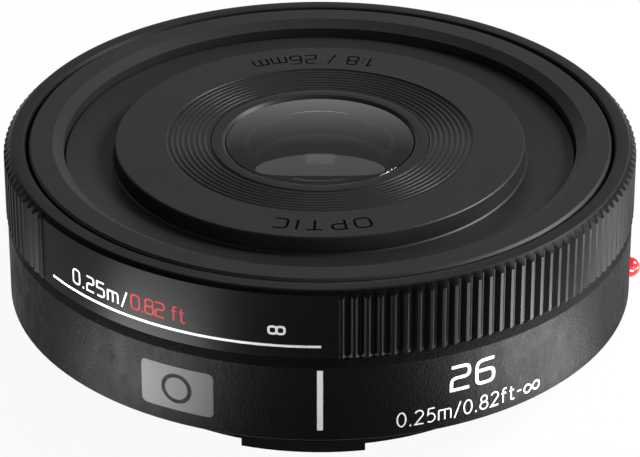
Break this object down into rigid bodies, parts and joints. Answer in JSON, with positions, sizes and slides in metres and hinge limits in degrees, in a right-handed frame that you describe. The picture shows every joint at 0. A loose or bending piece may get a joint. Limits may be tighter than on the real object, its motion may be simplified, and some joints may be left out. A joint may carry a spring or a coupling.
{
  "type": "prime camera lens",
  "caption": "Slim round prime camera lens with a ribbed focus ring, a grooved front disc that slides forward to focus, and a bayonet mount behind.",
  "frame": {"origin": "centre of the bayonet mount's seating face", "axes": "+Z along the optical axis towards the subject; -Y is the side with the index line"},
  "size_m": [0.0682, 0.0672, 0.0236],
  "materials": {
    "mount_black": "satin black bayonet",
    "barrel_black": "fine crackle black",
    "ring_black": "satin black, machined ribs",
    "bezel_black": "satin black",
    "cover_black": "satin black anodised, turned grooves",
    "retainer_black": "satin black anodised",
    "baffle_black": "matt black moulded",
    "guide_black": "matt black, glass-filled",
    "cell_black": "matt black",
    "cam_metal": "turned, hard anodised",
    "roller_brass": "polished",
    "pin_steel": "ground",
    "screw_steel": "bright zinc",
    "screw_black": "black oxide",
    "washer_white": "low-friction polymer",
    "tape": "double-sided tape",
    "felt_black": "fine felt",
    "bead_red": "gloss red",
    "optical_glass": "coated"
  },
  "bodies": {
    "barrel": {"bayonet_mount": "mount_black", "mount_screws": "screw_black", "outer_barrel": "barrel_black", "index_bead": "bead_red", "rear_baffle": "baffle_black", "baffle_screws": "screw_black", "guide_tube": "guide_black", "guide_screws": "screw_steel", "front_bezel": "bezel_black", "bezel_screws": "screw_steel", "stop_pin": "pin_steel", "lower_slip_washer": "washer_white", "upper_slip_washer": "washer_white"},
    "focus_ring": {"focus_ring": "ring_black", "cam_ring": "cam_metal", "ring_screws": "screw_steel"},
    "lens_unit": {"lens_cell": "cell_black", "cam_followers": "pin_steel", "follower_rollers": "roller_brass", "cover_tape": "tape", "front_cover": "cover_black", "cover_felt": "felt_black", "front_retainer": "retainer_black", "lens_element_1": "optical_glass", "lens_element_2": "optical_glass", "lens_element_3": "optical_glass", "lens_element_4": "optical_glass", "lens_element_5": "optical_glass", "front_spacer": "cell_black", "aperture_stop": "cell_black", "stop_spacer": "cell_black", "middle_spacer": "cell_black", "rear_spacer": "cell_black", "rear_retainer": "cell_black"}
  },
  "joints": [
    {"name": "focus_turn", "type": "hinge", "parent": "barrel", "child": "focus_ring", "pos_m": [0, 0, 0], "axis": [0, 0, 1], "range_deg": [0, 55]},
    {"name": "focus_slide", "type": "slide", "parent": "barrel", "child": "lens_unit", "axis": [0, 0, 1], "range_m": [0, 0.0035]}
  ],
  "couplings": [
    {"joint": "focus_slide", "follows": "focus_turn", "m_per_rad": 0.0036461}
  ]
}
